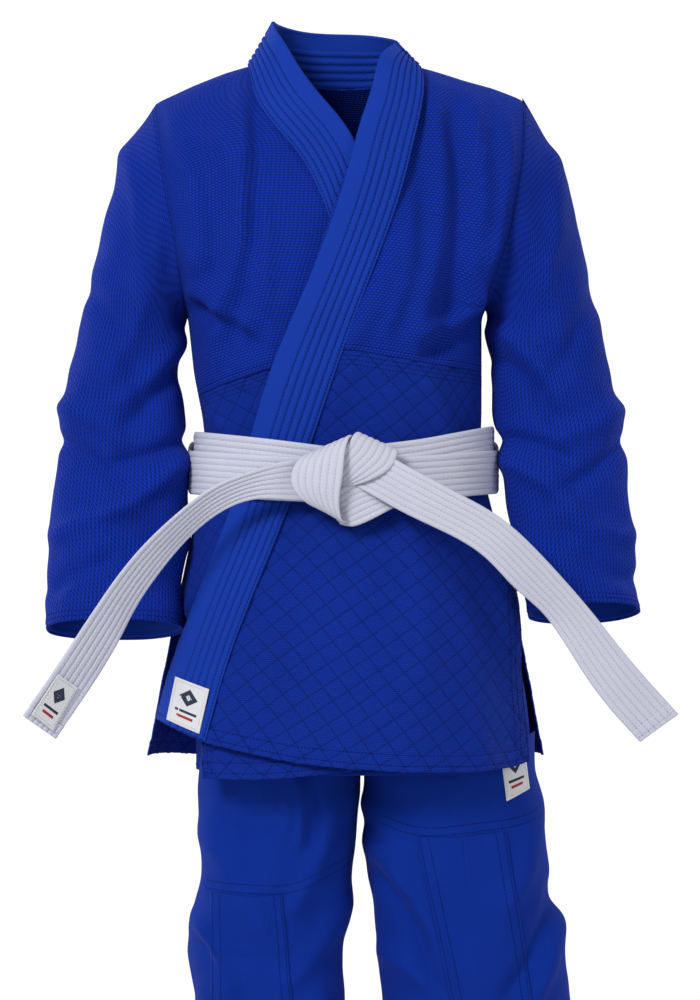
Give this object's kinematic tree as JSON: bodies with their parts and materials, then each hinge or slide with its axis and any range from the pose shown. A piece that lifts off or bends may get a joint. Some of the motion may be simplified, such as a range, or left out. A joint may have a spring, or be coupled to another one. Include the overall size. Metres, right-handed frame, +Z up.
{
  "type": "martial arts uniform",
  "caption": "Judo-type uniform in its worn shape: quilted wrap jacket with long sleeves and side vents, tied flat belt, and loose trousers with knee patches.",
  "frame": {"origin": "middle of the neck opening at the height of the shoulder seams", "axes": "+Z up, -Y the front, +X the wearer's left"},
  "size_m": [0.584, 0.2714, 1.117],
  "materials": {
    "blue_grain_weave": "rice-grain weave cotton",
    "blue_diamond_weave": "diamond-quilted cotton",
    "blue_band": "smooth twill with rows of stitching",
    "blue_drill": "smooth drill cotton",
    "white_strap": "quilted cotton belt",
    "label_cloth": "woven label"
  },
  "bodies": {
    "jacket": {"belt_inner_wrap": "white_strap", "belt_outer_wrap": "white_strap", "collar_back": "blue_band", "crotch_gusset": "blue_drill", "jacket_back": "blue_grain_weave", "jacket_left_front": "blue_grain_weave", "jacket_right_front": "blue_grain_weave", "knee_patch_thigh_left": "blue_drill", "knee_patch_thigh_right": "blue_drill", "knot_front_strand": "white_strap", "knot_lower_strand": "white_strap", "knot_upper_strand": "white_strap", "lapel_label": "label_cloth", "lapel_left": "blue_band", "lapel_right": "blue_band", "shoulder_lining_left": "blue_grain_weave", "shoulder_lining_right": "blue_grain_weave", "skirt_back": "blue_diamond_weave", "skirt_left_front": "blue_diamond_weave", "skirt_right_front": "blue_diamond_weave", "sleeve_cap_left": "blue_grain_weave", "sleeve_cap_right": "blue_grain_weave", "trouser_label": "label_cloth", "trouser_seat_left": "blue_drill", "trouser_seat_right": "blue_drill", "trouser_thigh_left": "blue_drill", "trouser_thigh_right": "blue_drill", "vent_patch_left": "blue_diamond_weave", "vent_patch_right": "blue_diamond_weave", "waistband": "blue_drill"},
    "sleeve_right": {"sleeve_right": "blue_grain_weave", "cuff_facing_right": "blue_grain_weave"},
    "sleeve_left": {"sleeve_left": "blue_grain_weave", "cuff_facing_left": "blue_grain_weave"},
    "tail_right": {"belt_tail_right": "white_strap", "belt_label": "label_cloth"},
    "tail_left": {"belt_tail_left": "white_strap"},
    "shin_right": {"trouser_shin_right": "blue_drill", "knee_patch_shin_right": "blue_drill", "leg_hem_right": "blue_drill"},
    "shin_left": {"trouser_shin_left": "blue_drill", "knee_patch_shin_left": "blue_drill", "leg_hem_left": "blue_drill"}
  },
  "joints": [
    {"name": "right_sleeve_swing", "type": "hinge", "parent": "jacket", "child": "sleeve_right", "pos_m": [-0.244, -0.003, -0.238], "axis": [0, 1, 0], "range_deg": [0, 40]},
    {"name": "left_sleeve_swing", "type": "hinge", "parent": "jacket", "child": "sleeve_left", "pos_m": [0.241, -0.003, -0.232], "axis": [0, -1, 0], "range_deg": [0, 40]},
    {"name": "right_tail_lift", "type": "hinge", "parent": "jacket", "child": "tail_right", "pos_m": [-0.05, -0.122, -0.371], "axis": [-0.26, 0, 0.9656], "range_deg": [0, 50]},
    {"name": "left_tail_lift", "type": "hinge", "parent": "jacket", "child": "tail_left", "pos_m": [0.053, -0.122, -0.374], "axis": [-0.4, 0, -0.9165], "range_deg": [0, 50]},
    {"name": "right_knee_bend", "type": "hinge", "parent": "jacket", "child": "shin_right", "pos_m": [-0.07, 0, -0.79], "axis": [1, 0, 0], "range_deg": [0, 40]},
    {"name": "left_knee_bend", "type": "hinge", "parent": "jacket", "child": "shin_left", "pos_m": [0.118, 0, -0.79], "axis": [1, 0, 0], "range_deg": [0, 40]}
  ]
}
